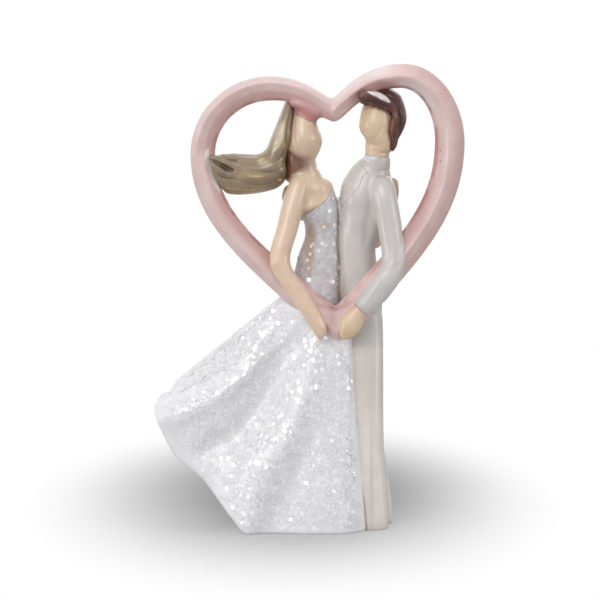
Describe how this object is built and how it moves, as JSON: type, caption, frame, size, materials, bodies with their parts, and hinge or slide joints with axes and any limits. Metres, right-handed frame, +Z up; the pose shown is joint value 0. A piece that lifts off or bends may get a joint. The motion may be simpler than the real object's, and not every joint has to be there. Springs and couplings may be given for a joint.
{
  "type": "wedding cake topper",
  "caption": "Painted cast-resin cake topper: a faceless bride and groom embrace inside a standing heart frame, hands resting on its point, the gown's train swept to one side.",
  "frame": {"origin": "on the flat underside of the gown, where the topper rests on the cake, below the point of the heart and the line where the couple meet", "axes": "+Z up from the cake, -Y towards the viewer in front of the heart, +X from the bride towards the groom"},
  "size_m": [0.092, 0.0328, 0.1387],
  "materials": {
    "heart_paint": "hand-brushed pale pink satin paint on cast resin",
    "bride_skin": "peach satin paint on cast resin",
    "groom_skin": "light peach satin paint on cast resin",
    "bride_hair": "dark blonde satin paint with golden dry brushing",
    "groom_hair": "dark brown gloss paint",
    "gown": "white paint under clear coat with chunky pearl glitter",
    "suit": "warm white satin paint on cast resin",
    "shirt": "cool white satin paint on cast resin",
    "trousers": "warm white satin paint with a beige wash"
  },
  "bodies": {
    "root": {"heart_frame": "heart_paint", "bride_head": "bride_skin", "bride_shoulders": "bride_skin", "bride_right_arm": "bride_skin", "bride_left_arm": "bride_skin", "bride_hair_lock": "bride_hair", "bride_hair_sweep": "bride_hair", "bride_bodice": "gown", "bride_skirt": "gown", "groom_head": "groom_skin", "groom_left_hand": "groom_skin", "groom_right_hand": "groom_skin", "groom_hair": "groom_hair", "groom_shirt_collar": "shirt", "groom_jacket": "suit", "groom_collar": "suit", "groom_left_lapel": "suit", "groom_right_lapel": "suit", "groom_left_sleeve": "suit", "groom_right_sleeve": "suit", "groom_left_leg": "trousers", "groom_right_leg": "trousers"}
  },
  "joints": []
}
